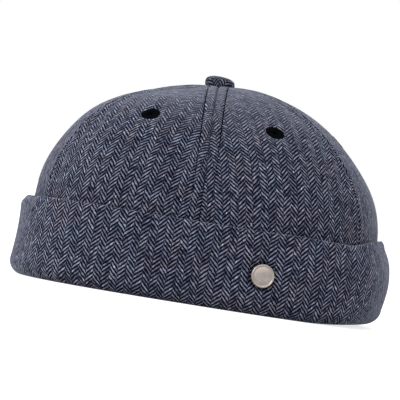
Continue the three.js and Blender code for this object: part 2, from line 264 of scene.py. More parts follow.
def oval_point(azimuth):
    """Points of the head oval, which is a little fuller at its corners than an ellipse."""
    across = np.abs(np.sin(azimuth) / HALF_WIDTH) ** SQUARENESS
    along = np.abs(np.cos(azimuth) / HALF_LENGTH) ** SQUARENESS
    reach = (across + along) ** (-1 / SQUARENESS)
    return reach * np.sin(azimuth) * (1 - EGG * np.cos(azimuth)), -reach * np.cos(azimuth)


def head_oval(azimuth):
    """Points of the head oval, and the level directions that face out of it."""
    x, y = oval_point(azimuth)
    before, after = oval_point(azimuth - NORMAL_STEP), oval_point(azimuth + NORMAL_STEP)
    dx, dy = after[0] - before[0], after[1] - before[1]
    length = np.hypot(dx, dy)
    return x, y, dy / length, -dx / length


def dent_depth(azimuth, z):
    total = 0
    for middle, height, wide, high, depth in DENTS:
        turn = azimuth - math.radians(middle)
        along = np.arctan2(np.sin(turn), np.cos(turn)) / math.radians(wide)
        up = (z - height) / high
        total = total + depth * np.exp(-(along**2 + up**2))
    return total


def crown_point(azimuth, level):
    """The crown's outer face. Level -1 is its foot, 0 the top of the straight wall, 1 the apex."""
    azimuth, level = np.broadcast_arrays(np.asarray(azimuth, float), np.asarray(level, float))
    full = FULLNESS + FULLNESS_LEFT * side_weights(azimuth)["left"]
    angle = np.maximum(level, 0) * math.pi / 2
    reach = np.cos(angle) ** (2 / full)
    rise = np.sin(angle) ** (2 / full)
    wall_z = SPRING_Z + np.minimum(level, 0) * (SPRING_Z - CROWN_FOOT_Z - rim_lift(azimuth))
    z = wall_z + (APEX_Z - SPRING_Z) * rise
    x, y, out_x, out_y = head_oval(azimuth)
    turn = np.degrees(azimuth) % 360
    index = np.clip(np.searchsorted(SEAMS, turn, side="right") - 1, 0, len(PANELS) - 1)
    seams = np.array(SEAMS)
    across = (turn - seams[index]) / (seams[index + 1] - seams[index])
    flat = 1 - PANEL_FLATTENING * np.sin(math.pi * across) * smoothstep(level, 0, FLAT_FROM_LEVEL)
    dent = dent_depth(azimuth, z)
    dent = dent * smoothstep(level, 0, DENTS_FROM_LEVEL) * smoothstep(reach, 0, DENTS_TO_REACH)
    lean = LEAN * (np.maximum(z - SPRING_Z, 0) / (APEX_Z - SPRING_Z)) ** 2
    return np.stack([
        x * reach * flat - out_x * dent * reach - lean,
        y * reach * flat - out_y * dent * reach,
        z - dent * rise,
    ], -1)


def crown_normal(azimuth, level):
    along = crown_point(azimuth + NORMAL_STEP, level) - crown_point(azimuth - NORMAL_STEP, level)
    above = crown_point(azimuth, np.minimum(level + NORMAL_STEP, 1))
    normal = np.cross(along, above - crown_point(azimuth, level - NORMAL_STEP))
    return normal / np.linalg.norm(normal, axis=-1, keepdims=True)


def cuff_measures(azimuth):
    """The band's measures at an azimuth, blended from its four sides."""
    weights = side_weights(azimuth)
    return {
        name: sum(CUFF_SIDES[side][name] * weights[side] for side in CUFF_SIDES)
        for name in CUFF_SIDES["front"]
    }


def cuff_stand_off(azimuth, z):
    """How far the band's outer face stands off the head oval at a height."""
    measures = cuff_measures(azimuth)
    low = rim_lift(azimuth) + measures["high"]
    shoulder = CUFF_HEIGHT - CUFF_EDGE_ROUND
    down = (shoulder - z) / (shoulder - low)
    slope = measures["top"] + (measures["bottom"] - measures["top"]) * down
    return slope + measures["bulge"] * np.sin(math.pi * np.clip(down, 0, 1))


def cap_shift():
    """From the shape functions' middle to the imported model's, read off the band's box."""
    azimuths = np.linspace(0, 2 * math.pi, 60, endpoint=False)
    x, y, out_x, out_y = head_oval(azimuths)
    reach = np.zeros(len(azimuths))
    fold_top = rim_lift(azimuths) + cuff_measures(azimuths)["high"]
    shoulder = CUFF_HEIGHT - CUFF_EDGE_ROUND
    for share in np.linspace(0, 1, 6):
        reach = np.maximum(reach, cuff_stand_off(azimuths, shoulder + (fold_top - shoulder) * share))
    low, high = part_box("cuff")
    ring_x, ring_y = x + out_x * reach, y + out_y * reach
    return np.array([
        (low.x + high.x) / 2 / MM - (ring_x.max() + ring_x.min()) / 2,
        (low.y + high.y) / 2 / MM - (ring_y.max() + ring_y.min()) / 2,
        0,
    ])


SHIFT = cap_shift()


def soft_waves(points, longest, height):
    """A gentle unevenness of soft cloth: a few crossed waves through space."""
    waves = np.zeros(points.shape[:-1])
    shape = np.random.default_rng(WAVE_SEED)
    for _ in range(WAVE_COUNT):
        direction = shape.normal(size=3)
        direction /= np.linalg.norm(direction)
        length = longest * shape.uniform(0.45, 1)
        waves += np.sin(points @ direction * 2 * math.pi / length + shape.uniform(0, 2 * math.pi))
    return waves * height / 3


def in_scene(name, data):
    thing = bpy.data.objects.new(name, data)
    bpy.context.scene.collection.objects.link(thing)
    return thing


# Meshes


class Patchwork:
    """Collects grids of points and sews them into one mesh, with the cloth's own coordinates."""

    def __init__(self):
        self.points, self.faces, self.cloth, self.bake = [], [], [], []
        self.count = 0

    def add(self, points, cloth, spot, flip=False):
        """A grid (rows, columns) of points, its cloth coordinates and its spot (x0, y0, x1, y1)."""
        rows, columns = points.shape[:2]
        number = self.count + np.arange(rows * columns).reshape(rows, columns)
        corners = [number[:-1, :-1], number[:-1, 1:], number[1:, 1:], number[1:, :-1]]
        if flip:
            corners = corners[::-1]
        self.faces.append(np.stack(corners, -1).reshape(-1, 4))
        x0, y0, x1, y1 = spot
        across, up = np.meshgrid(np.linspace(x0, x1, columns), np.linspace(y0, y1, rows))
        self.points.append(points.reshape(-1, 3))
        self.cloth.append(np.broadcast_to(cloth, (rows, columns, 2)).reshape(-1, 2))
        self.bake.append(np.stack([across, up], -1).reshape(-1, 2))
        self.count += rows * columns

    def build(self, name, material, sharp=50):
        points = (np.concatenate(self.points) + SHIFT) * MM
        faces = np.concatenate(self.faces)
        mesh = bpy.data.meshes.new(name)
        mesh.from_pydata(points.tolist(), [], faces.tolist())
        loops = faces.reshape(-1)
        for layer_name, values in (("Cloth", self.cloth), ("OFBake", self.bake)):
            layer = mesh.uv_layers.new(name=layer_name)
            places = np.concatenate(values)[loops].astype(np.float32)
            layer.data.foreach_set("uv", places.reshape(-1))
        work = bmesh.new()
        work.from_mesh(mesh)
        bmesh.ops.remove_doubles(work, verts=work.verts, dist=SEWN_WITHIN)
        work.to_mesh(mesh)
        work.free()
        mesh.shade_smooth()
        mesh.set_sharp_from_angle(angle=math.radians(sharp))
        mesh.materials.append(material)
        return in_scene(name, mesh)


def arc_lengths(points):
    """Running length along the last-but-one axis of a line of points."""
    steps = np.linalg.norm(np.diff(points, axis=-2), axis=-1)
    start = np.zeros(steps.shape[:-1] + (1,))
    return np.concatenate([start, np.cumsum(steps, -1)], -1)


# Finishes


class Nodes:
    """Adds nodes to one tree and links them up."""

    def __init__(self, tree):
        self.tree = tree

    def add(self, kind, **settings):
        node = self.tree.nodes.new(kind)
        for name, value in settings.items():
            setattr(node, name, value)
        return node

    def feed(self, socket, value):
        if isinstance(value, bpy.types.NodeSocket):
            self.tree.links.new(value, socket)
        else:
            socket.default_value = value

    def math(self, operation, *values, clamp=False):
        node = self.add("ShaderNodeMath", operation=operation, use_clamp=clamp)
        for socket, value in zip(node.inputs, values):
            self.feed(socket, value)
        return node.outputs[0]

    def plus(self, total, value, weight):
        return self.math("ADD", total, self.math("MULTIPLY", value, weight))

    def smooth(self, value, low, high, out_low=0.0, out_high=1.0):
        node = self.add("ShaderNodeMapRange", interpolation_type="SMOOTHSTEP")
        for name, number in (("Value", value), ("From Min", low), ("From Max", high),
                             ("To Min", out_low), ("To Max", out_high)):
            self.feed(node.inputs[name], number)
        return node.outputs["Result"]

    def mix(self, share, low, high):
        node = self.add("ShaderNodeMix", data_type="RGBA")
        self.feed(node.inputs[0], share)
        self.feed(node.inputs[6], low)
        self.feed(node.inputs[7], high)
        return node.outputs[2]

    def tinted(self, colour, tint):
        result = self.mix(1.0, colour, tint)
        result.node.blend_type = "MULTIPLY"
        return result

    def noise(self, vector, scale, detail=2.0, roughness=0.5):
        node = self.add("ShaderNodeTexNoise")
        for name, value in (("Vector", vector), ("Scale", scale), ("Detail", detail),
                            ("Roughness", roughness)):
            self.feed(node.inputs[name], value)
        return node.outputs["Fac"]

    def vector(self, x, y, z=0.0):
        node = self.add("ShaderNodeCombineXYZ")
        for socket, value in zip(node.inputs, (x, y, z)):
            self.feed(socket, value)
        return node.outputs[0]

    def parts(self, vector):
        node = self.add("ShaderNodeSeparateXYZ")
        self.feed(node.inputs[0], vector)
        return node.outputs

    def bump(self, shader, strength, distance, height):
        node = self.add("ShaderNodeBump")
        for name, value in (("Strength", strength), ("Distance", distance), ("Height", height)):
            self.feed(node.inputs[name], value)
        self.feed(shader.inputs["Normal"], node.outputs["Normal"])


def new_group(name, inputs, outputs):
    """A shader node group with named sockets: its tree, and the sockets inside it."""
    tree = bpy.data.node_groups.new(name, "ShaderNodeTree")
    for socket_name, kind, value in inputs:
        socket = tree.interface.new_socket(name=socket_name, in_out="INPUT", socket_type=kind)
        if value is not None:
            socket.default_value = value
    for socket_name, kind in outputs:
        tree.interface.new_socket(name=socket_name, in_out="OUTPUT", socket_type=kind)
    entry = tree.nodes.new("NodeGroupInput")
    leave = tree.nodes.new("NodeGroupOutput")
    return tree, entry.outputs, leave.inputs


def herringbone_group():
    """Weave colours and height from cloth coordinates in millimetres."""
    tree, given, result = new_group(
        "Herringbone weave",
        [
            ("Cloth", "NodeSocketVector", None),
            *((yarn, "NodeSocketColor", (*colour, 1)) for yarn, colour in YARNS.items()),
            ("Fuzz and painted top light", "NodeSocketFloat", 0.0),
        ],
        [("Colour", "NodeSocketColor"), ("Height", "NodeSocketFloat")],
    )
    n = Nodes(tree)
    cloth = given["Cloth"]

    # The cloth isn't woven quite true: lines wander a little
    wander = n.noise(cloth, 0.11, 1.5)
    wander_fine = n.noise(cloth, 0.8, 1.0)
    u, v, _ = n.parts(cloth)
    u = n.plus(u, n.math("SUBTRACT", wander, 0.5), WANDER)
    u = n.plus(u, n.math("SUBTRACT", wander_fine, 0.5), QUICK_WANDER[0])
    v = n.plus(v, n.math("SUBTRACT", wander_fine, 0.5), QUICK_WANDER[1])

    # Columns whose lines lean one way and then the other
    column = n.math("FLOOR", n.math("DIVIDE", u, COLUMN_WIDTH))
    odd = n.math("FLOORED_MODULO", column, 2.0)
    fold = n.math("PINGPONG", u, COLUMN_WIDTH)
    yarn = n.math("DIVIDE", fold, YARN_WIDTH)
    stepped = n.math("MULTIPLY", n.math("ADD", n.math("FLOOR", yarn), 0.5), YARN_WIDTH)
    lean = n.plus(n.math("MULTIPLY", fold, 1 - STEPPED_SHARE), stepped, STEPPED_SHARE)
    rise = n.math("DIVIDE", n.math("MULTIPLY", lean, LINE_SLOPE), LINE_PITCH)
    phase = n.math("SUBTRACT", n.math("DIVIDE", v, LINE_PITCH), rise)
    phase = n.plus(phase, odd, 0.5)

    # Each line, and each yarn in it, has its own shade, and light and dark patches run over them
    row = n.math("FLOOR", phase)
    shade = n.add("ShaderNodeTexWhiteNoise", noise_dimensions="3D")
    n.feed(shade.inputs["Vector"], n.vector(column, row, 3.7))
    yarn_shade = n.add("ShaderNodeTexWhiteNoise", noise_dimensions="3D")
    n.feed(yarn_shade.inputs["Vector"], n.vector(column, row, n.math("FLOOR", yarn)))
    streak = n.noise(cloth, 0.45, 2.0)
    slub = n.noise(n.vector(n.math("MULTIPLY", fold, 0.4), row, column), 1.3, 1.0)
    bright = n.plus(n.math("MULTIPLY", shade.outputs["Value"], 0.45), yarn_shade.outputs["Value"], 0.28)
    bright = n.math("ADD", bright, n.smooth(streak, 0.3, 0.7, -0.2, 0.34))
    bright = n.math("ADD", bright, n.smooth(slub, 0.3, 0.7, -0.12, 0.18), clamp=True)
    line_colour = n.mix(bright, given["Line"], given["Bright line"])
    fleck = n.math("GREATER_THAN", yarn_shade.outputs["Value"], 0.985)
    line_colour = n.mix(n.math("MULTIPLY", fleck, 0.8), line_colour, FLECK_COLOUR)

    # One line of floats: pale over the dark ground, of uneven thickness and rounded at its ends
    near = n.math("ABSOLUTE", n.math("SUBTRACT", n.math("FRACT", phase), 0.5))
    near = n.math("ADD", near, n.smooth(slub, 0.2, 0.8, 0.05, -0.05))
    line = n.smooth(near, *LINE_FADES_BETWEEN, 1.0, 0.0)
    edge = n.math("MINIMUM", fold, n.math("SUBTRACT", COLUMN_WIDTH, fold))
    edge = n.math("SUBTRACT", edge, n.math("MULTIPLY", yarn_shade.outputs["Value"], 0.3))
    line = n.math("MULTIPLY", line, n.smooth(edge, -0.15, 0.25, 0.4, 1.0))
    across = n.math("ABSOLUTE", n.math("SUBTRACT", n.math("FRACT", yarn), 0.5))
    line_share = n.math("MULTIPLY", line, n.smooth(across, 0.15, 0.5, 1.0, 0.75))
    colour = n.mix(line_share, given["Ground"], line_colour)

    # Pressed and brushed spots, and uneven weft, make it a little darker and paler
    spots = n.smooth(n.noise(cloth, 0.5, 2.0, 0.6), 0.3, 0.7, 0.8, 1.2)
    weft = n.noise(n.vector(n.math("MULTIPLY", u, 0.12), v), 0.9, 2.0, 0.6)
    spots = n.math("MULTIPLY", spots, n.smooth(weft, 0.3, 0.7, 0.72, 1.28))
    colour = n.tinted(colour, n.vector(spots, spots, spots))

    # The wool took its dye unevenly: cooler and warmer patches
    dye = n.smooth(n.noise(cloth, 0.08, 2.0), 0.3, 0.7)
    colour = n.tinted(colour, n.mix(dye, COOLER_DYE, WARMER_DYE))

    # Short fuzz lies over both yarns and greys them. Its amount comes from outside, and there it also
    # paints pale light on cloth that faces up
    fuzz = n.noise(cloth, 2.6, 3.0, 0.65)
    patches = n.noise(cloth, 0.07, 2.0)
    fuzz_and_painted_light_share = n.smooth(fuzz, 0.35, 0.65, 0.2)
    fuzz_and_painted_light_share = n.math("MULTIPLY", fuzz_and_painted_light_share, n.smooth(patches, 0.3, 0.7, 0.6, 1.4))
    fuzz_and_painted_light_share = n.math("MULTIPLY", fuzz_and_painted_light_share, given["Fuzz and painted top light"], clamp=True)
    colour = n.mix(fuzz_and_painted_light_share, colour, FUZZ_AND_PAINTED_LIGHT_COLOUR)
    n.feed(result["Colour"], colour)

    # Height: the lines stand up from the ground, over fuzz, a coarse grain and slow swells
    coarse = n.noise(cloth, 0.9, 2.0)
    swells = n.noise(cloth, 0.2, 1.0)
    height = n.math("MULTIPLY", line_share, 0.5)
    for share, weight in ((fuzz, 0.3), (coarse, 1.4), (swells, 4.0), (weft, 0.8)):
        height = n.plus(height, share, weight)
    n.feed(result["Height"], height)
    return tree


def new_material(name):
    material = bpy.data.materials.new(name)
    material.use_nodes = True
    n = Nodes(material.node_tree)
    return material, n, material.node_tree.nodes["Principled BSDF"]


def herringbone_cloth(name, weave, fuzz=0.02, nap_and_painted_top_light=0.5, shade=1.0):
    """Wool herringbone on the piece's own cloth coordinates, with more pale nap where it faces up,
    which is painted top light over the real fuzz, and yarn colours darkened by a shade below 1, which
    is painted shade.
    """
    material, n, shader = new_material(name)
    cloth = n.add("ShaderNodeUVMap", uv_map="Cloth").outputs["UV"]
    group = n.add("ShaderNodeGroup", node_tree=weave)
    n.feed(group.inputs["Cloth"], cloth)
    # A shade below 1 darkens the yarns: painted shade on a copy of the same cloth
    for yarn, colour in YARNS.items():
        n.feed(group.inputs[yarn], (*(part * shade for part in colour), 1))
    # Paler, fuzzier cloth where it faces up: painted light from above, over the real fuzz
    _, _, facing_up = n.parts(n.add("ShaderNodeNewGeometry").outputs["Normal"])
    n.feed(group.inputs["Fuzz and painted top light"], n.smooth(facing_up, *NAP_AND_PAINTED_TOP_LIGHT_BETWEEN, fuzz, nap_and_painted_top_light))
    n.feed(shader.inputs["Base Color"], group.outputs["Colour"])
    n.bump(shader, 0.7, 0.0003, group.outputs["Height"])
    shader.inputs["Roughness"].default_value = 0.95
    shader.inputs["Specular IOR Level"].default_value = 0.02
    shader.inputs["Sheen Weight"].default_value = 0.4
    shader.inputs["Sheen Roughness"].default_value = 0.23
    shader.inputs["Sheen Tint"].default_value = (0.78, 0.83, 1.0, 1)
    return material


def sewing_thread():
    """Black spun thread, dull and a little uneven."""
    material, n, shader = new_material("sewing thread")
    place = n.add("ShaderNodeTexCoord").outputs["Object"]
    speckle = n.noise(place, 2600, 2.0)
    colour = n.mix(speckle, (0.0012, 0.0014, 0.0016, 1), (0.0045, 0.0052, 0.006, 1))
    n.feed(shader.inputs["Base Color"], colour)
    n.bump(shader, 0.4, 0.0001, speckle)
    shader.inputs["Roughness"].default_value = 0.95
    shader.inputs["Specular IOR Level"].default_value = 0.0
    return material


def satin_metal():
    """Warm silver of the stud, softly brushed and a little worn."""
    material, n, shader = new_material("satin stud metal")
    place = n.add("ShaderNodeTexCoord").outputs["Object"]
    brushed = n.noise(place, 1800, 3.0, 0.6)
    worn = n.noise(place, 300, 2.0)
    colour = n.mix(worn, (0.4, 0.345, 0.31, 1), (0.58, 0.51, 0.47, 1))
    colour = n.mix(n.math("MULTIPLY", brushed, 0.35), colour, (0.32, 0.275, 0.25, 1))
    n.feed(shader.inputs["Base Color"], colour)
    n.feed(shader.inputs["Roughness"], n.smooth(brushed, 0.3, 0.7, 0.22, 0.34))
    n.bump(shader, 0.12, 0.0001, brushed)
    shader.inputs["Metallic"].default_value = 1.0
    return material


weave = herringbone_group()
# The crown's and the button's cloth are the band's cloth darkened by shade: painted shade
CROWN_FINISH = herringbone_cloth("herringbone crown cloth", weave, shade=0.93)
CUFF_FINISH = herringbone_cloth("herringbone band cloth", weave, nap_and_painted_top_light=0.4)
BUTTON_FINISH = herringbone_cloth("herringbone button cloth", weave, fuzz=0.08, nap_and_painted_top_light=0.15, shade=0.78)
THREAD_FINISH = sewing_thread()
METAL_FINISH = satin_metal()


def stands_for(piece, slot, *nodes):
    """A finished piece takes the place of its plain solids and rides with the cap."""
    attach(piece, "root")
    if nodes:
        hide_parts(*nodes)
    return piece


# Crown panels


def seam_relief(distance, radius, topstitched):
    """The cloth's rise and fall at a distance from a seam, which is less towards the apex."""
    valley = -VALLEY_DEPTH * np.exp(-((distance / VALLEY_WIDTH) ** 2))
    valley = valley * (1 - VALLEY_SHALLOWER * smoothstep(radius, *SHALLOWER_BETWEEN))
    ridge = RIDGE_HEIGHT * smoothstep(distance, *RIDGE_RISES_BETWEEN)
    ridge = ridge * (1 - smoothstep(distance, *RIDGE_FALLS_BETWEEN))
    kept = RELIEF_AT_APEX + (1 - RELIEF_AT_APEX) * smoothstep(radius, *APEX_RELIEF_BETWEEN)
    if not topstitched:
        return (valley + ridge) * kept
    groove = -GROOVE_DEPTH * np.exp(-(((distance - STITCH_ROW) / GROOVE_WIDTH) ** 2))
    return (valley + ridge) * kept + groove * smoothstep(radius, *GROOVE_BETWEEN)


def seam_pucker(seam, level, distance, radius):
    """The small ripples that topstitching draws into the cloth beside it."""
    if seam % 360 not in TOPSTITCHED:
        return 0
    long_wave, short_wave = PUCKER_WAVES
    ripple = np.sin(level * long_wave + seam) + 0.6 * np.sin(level * short_wave + 2 * seam)
    near = np.exp(-(((distance - STITCH_ROW - PUCKERS_BESIDE_ROW) / PUCKERS_REACH) ** 2))
    return PUCKER * ripple * near * smoothstep(radius, *PUCKERS_BETWEEN)


def cloth_relief(smooth, level, radius, seams, distances):
    """How far a panel's cloth stands off its smooth shape, given the distances from two seams."""
    relief = 0
    for seam, distance in zip(seams, distances):
        relief = relief + seam_relief(distance, radius, seam % 360 in TOPSTITCHED)
        relief = relief + seam_pucker(seam, level, distance, radius)
    nearest = np.minimum(*distances)
    waves = soft_waves(smooth, **CROWN_WAVES) * smoothstep(level, -0.2, 0.1) * smoothstep(nearest, 0, 8)
    return relief * smoothstep(level, -0.35, 0) + waves


def pressed_by_eyelet(index, smooth, relief):
    """The relief with the cloth drawn flat and down round the panel's eyelet."""
    middle = panel_middle(index)
    away = np.linalg.norm(smooth - crown_point(middle, EYELET_RISE), axis=-1)
    near = 1 - smoothstep(away, EYELET_RADIUS - 0.4, EYELET_RADIUS + DIMPLE_WIDTH)
    return relief * (1 - near) - EYELET_DIMPLE * near


def panel_levels():
    """Levels of a panel's rows of points, up the straight wall and closer together up the dome."""
    tip = 2 / math.pi * math.acos((TIP_RADIUS / HALF_WIDTH) ** (FULLNESS / 2))
    wall = np.linspace(-1, 0, WALL_ROWS, endpoint=False)
    dome = tip * np.sin(np.linspace(0, math.pi / 2, PANEL_ROWS - WALL_ROWS)) ** 0.92
    return np.concatenate([wall, dome])


def across_shares(half_width):
    """Places across a panel, from -1 to 1, for each level: at set distances from its seams."""
    beside = np.array(FROM_SEAM) * np.minimum(1, half_width / NARROW_PANEL) / half_width
    inner = np.linspace(0, 1, INNER_COLUMNS, endpoint=False) * (1 - beside[:, -1:])
    half = np.concatenate([inner, 1 - beside[:, ::-1]], 1)
    return np.concatenate([-half[:, :0:-1], half], 1)


def oval_run(azimuth):
    """Length along the head oval from the back seam to an azimuth."""
    turns = np.linspace(-math.pi, 3 * math.pi, 1441)
    x, y, _, _ = head_oval(turns)
    return np.interp(azimuth, turns, arc_lengths(np.stack([x, y], -1)))


def panel_sheet(index):
    """Outer face of a panel with its seams' relief, and where each point lies on the flat cloth."""
    low, high = math.radians(SEAMS[index]), math.radians(SEAMS[index + 1])
    middle = (low + high) / 2
    levels = panel_levels()[:, None]
    radius = np.linalg.norm((crown_point(middle, levels) - crown_point(middle, 1))[..., :2], axis=-1)
    half_turn = (high - low) / 2 - SEAM_GAP / 2 / radius
    azimuth = middle + across_shares(radius * half_turn) * half_turn
    smooth = crown_point(azimuth, levels)
    normal = crown_normal(azimuth, levels)
    along = arc_lengths(smooth)
    centre = smooth.shape[1] // 2
    width = along - along[:, centre:centre + 1]
    distances = (along + SEAM_GAP / 2, along[:, -1:] - along + SEAM_GAP / 2)
    relief = cloth_relief(smooth, levels, radius, SEAMS[index:index + 2], distances)
    relief = pressed_by_eyelet(index, smooth, relief)
    outer = smooth + normal * relief[..., None]
    inner = smooth - normal * CROWN_CLOTH

    # Cut flat: each level line bends by its own curvature about the panel's centre line
    run = arc_lengths(smooth[:, centre])
    half_width = width[:, -1]
    bend = -np.gradient(half_width, run) / half_width
    ends = BEND_SMOOTHED_OVER // 2
    window = np.ones(BEND_SMOOTHED_OVER) / BEND_SMOOTHED_OVER
    bend = np.convolve(np.pad(bend, ends, mode="edge"), window, mode="valid")[:, None]
    bend = np.where(np.abs(bend) < LEAST_BEND, LEAST_BEND, bend)
    cloth_u = np.sin(bend * width) / bend
    cloth_v = run[:, None] + (1 - np.cos(bend * width)) / bend
    cloth_u += GRAIN_BEND.get(PANELS[index], 0) * np.maximum(cloth_v - GRAIN_BENDS_FROM, 0) ** 2
    cloth = np.stack([cloth_u + oval_run(middle), cloth_v + 7 * LINE_PITCH * index], -1)
    return outer, inner, cloth / (1, CROWN_STRETCH)


def cut_hole(piece, centre, outward, radius):
    """Punches the eyelet's hole through a panel."""
    bpy.ops.mesh.primitive_cylinder_add(vertices=28, radius=radius * MM, depth=12 * MM)
    cutter = bpy.context.object
    turn = Vector(outward).to_track_quat("Z", "Y").to_matrix().to_4x4()
    cutter.data.transform(Matrix.Translation(Vector((centre + SHIFT) * MM)) @ turn)
    cutter.data.materials.append(CROWN_FINISH)
    modifier = piece.modifiers.new("hole", "BOOLEAN")
    modifier.operation = "DIFFERENCE"
    modifier.solver = "EXACT"
    modifier.object = cutter
    graph = bpy.context.evaluated_depsgraph_get()
    mesh = bpy.data.meshes.new_from_object(piece.evaluated_get(graph))
    piece.modifiers.clear()
    piece.data = mesh
    bpy.data.objects.remove(cutter)


def panel_middle(index):
    return math.radians((SEAMS[index] + SEAMS[index + 1]) / 2)


def crown_panel(index):
    """A sewn panel: its outer and inner face, the cut edges between them, and its eyelet's hole."""
    outer, inner, cloth = panel_sheet(index)
    sheet = Patchwork()
    sheet.add(outer, cloth, (0.005, 0.005, 0.595, 0.995))
    sheet.add(inner, cloth, (0.605, 0.005, 0.9, 0.995), flip=True)
    edges = [
        (outer[:, 0], inner[:, 0], cloth[:, 0], 0.91, True),
        (outer[:, -1], inner[:, -1], cloth[:, -1], 0.93, False),
        (outer[0], inner[0], cloth[0], 0.95, False),
        (outer[-1], inner[-1], cloth[-1], 0.97, True),
    ]
    for outer_line, inner_line, line_cloth, x, flip in edges:
        strip = np.stack([outer_line, inner_line], 1)
        strip_cloth = np.stack([line_cloth, line_cloth], 1)
        sheet.add(strip, strip_cloth, (x, 0.005, x + 0.012, 0.995), flip)
    piece = sheet.build(f"panel_{PANELS[index]}", CROWN_FINISH)
    middle = panel_middle(index)
    cut_hole(piece, crown_point(middle, EYELET_RISE), crown_normal(middle, EYELET_RISE), PUNCHED_RADIUS)
    return stands_for(piece, "herringbone_cloth", f"crown_panel_{PANELS[index]}")


# Topstitching


def stitch_row(seam, side):
    """The line of a row of topstitching beside a seam: points on the cloth and its normals."""
    levels = np.linspace(0.0, 0.965, 900)
    azimuth = np.full(levels.shape, math.radians(seam))
    step = 0.002
    across = crown_point(azimuth + step, levels) - crown_point(azimuth - step, levels)
    from_apex = crown_point(azimuth, levels) - crown_point(azimuth[0], 1)
    radius = np.linalg.norm(from_apex[:, :2], axis=-1)
    azimuth = azimuth + side * STITCH_ROW * 2 * step / np.linalg.norm(across, axis=-1)
    smooth = crown_point(azimuth, levels)
    normal = crown_normal(azimuth, levels)

    # The panel's other seam is far off, and the row ends under the button
    far_off = 3 * radius
    distances = (np.full(levels.shape, STITCH_ROW), far_off)
    relief = cloth_relief(smooth, levels, radius, (seam, 1), distances)
    points = smooth + normal * relief[:, None]
    keep = radius > BUTTON_RADIUS - 1
    return points[keep], normal[keep]


def stitch(line, normal, run, start):
    """Rings of points round the thread of one stitch, which starts this far along its row."""
    share = np.linspace(0, 1, STITCH_RINGS)
    at = start + STITCH_LENGTH * share
    middle = np.stack([np.interp(at, run, line[:, k]) for k in range(3)], -1)
    up = np.stack([np.interp(at, run, normal[:, k]) for k in range(3)], -1)
    deep = STITCH_SINK * (1 - smoothstep(middle[:, 2:], *SINK_BETWEEN))
    ahead = np.gradient(middle, axis=0)
    ahead /= np.linalg.norm(ahead, axis=-1, keepdims=True)
    beside = np.cross(ahead, up)
    bow = np.sin(math.pi * share)[:, None]
    middle = middle + up * (STITCH_LIFT + STITCH_BOW * bow - deep) + beside * rng.normal(0, STITCH_SWAY)
    thick = THREAD_RADIUS * (0.7 + 0.3 * bow**0.5)
    turn = np.linspace(0, 2 * math.pi, THREAD_SIDES, endpoint=False)[None, :, None]
    out = np.cos(turn) * beside[:, None] + np.sin(turn) * up[:, None] * THREAD_FLATNESS
    return middle[:, None] + thick[:, None] * out


def stitch_faces(first):
    """Faces round a stitch and over its two ends, with the number of its first point."""
    faces = []
    for ring in range(first, first + (STITCH_RINGS - 1) * THREAD_SIDES, THREAD_SIDES):
        for k in range(THREAD_SIDES):
            after = (k + 1) % THREAD_SIDES
            above = ring + THREAD_SIDES
            faces.append((ring + k, above + k, above + after, ring + after))
    last = first + (STITCH_RINGS - 1) * THREAD_SIDES
    faces.append(tuple(range(first, first + THREAD_SIDES)))
    faces.append(tuple(reversed(range(last, last + THREAD_SIDES))))
    return faces


def topstitching():
    """The rows of stitches beside the front and the back seam, as one piece."""
    points, faces = [], []
    for seam in TOPSTITCHED:
        for side in (-1, 1):
            line, normal = stitch_row(seam, side)
            run = arc_lengths(line)
            start = rng.uniform(0, STITCH_PITCH)
            while start + STITCH_LENGTH < run[-1]:
                faces += stitch_faces(len(points) * STITCH_RINGS * THREAD_SIDES)
                points.append(stitch(line, normal, run, start).reshape(-1, 3))
                start += STITCH_PITCH * rng.uniform(*PITCH_VARIES)
    mesh = bpy.data.meshes.new("topstitching")
    mesh.from_pydata(((np.concatenate(points) + SHIFT) * MM).tolist(), [], faces)
    mesh.shade_smooth()
    mesh.materials.append(THREAD_FINISH)
    return stands_for(in_scene("topstitching", mesh), "eyelet_thread")


# Turned-up band


def arc(start, stop, count):
    """Evenly spaced angles, given in degrees."""
    return np.radians(np.linspace(start, stop, count))


def stud_place():
    """The middle of the stud on the band's smooth face, and the way out of it."""
    azimuth = math.radians(STUD_AZIMUTH)
    off = cuff_stand_off(azimuth, STUD_Z)
    slope = (cuff_stand_off(azimuth, STUD_Z + 1) - cuff_stand_off(azimuth, STUD_Z - 1)) / 2
    x, y, out_x, out_y = head_oval(azimuth)
    return np.array([x + out_x * off, y + out_y * off, STUD_Z]), (out_x, out_y, -slope)


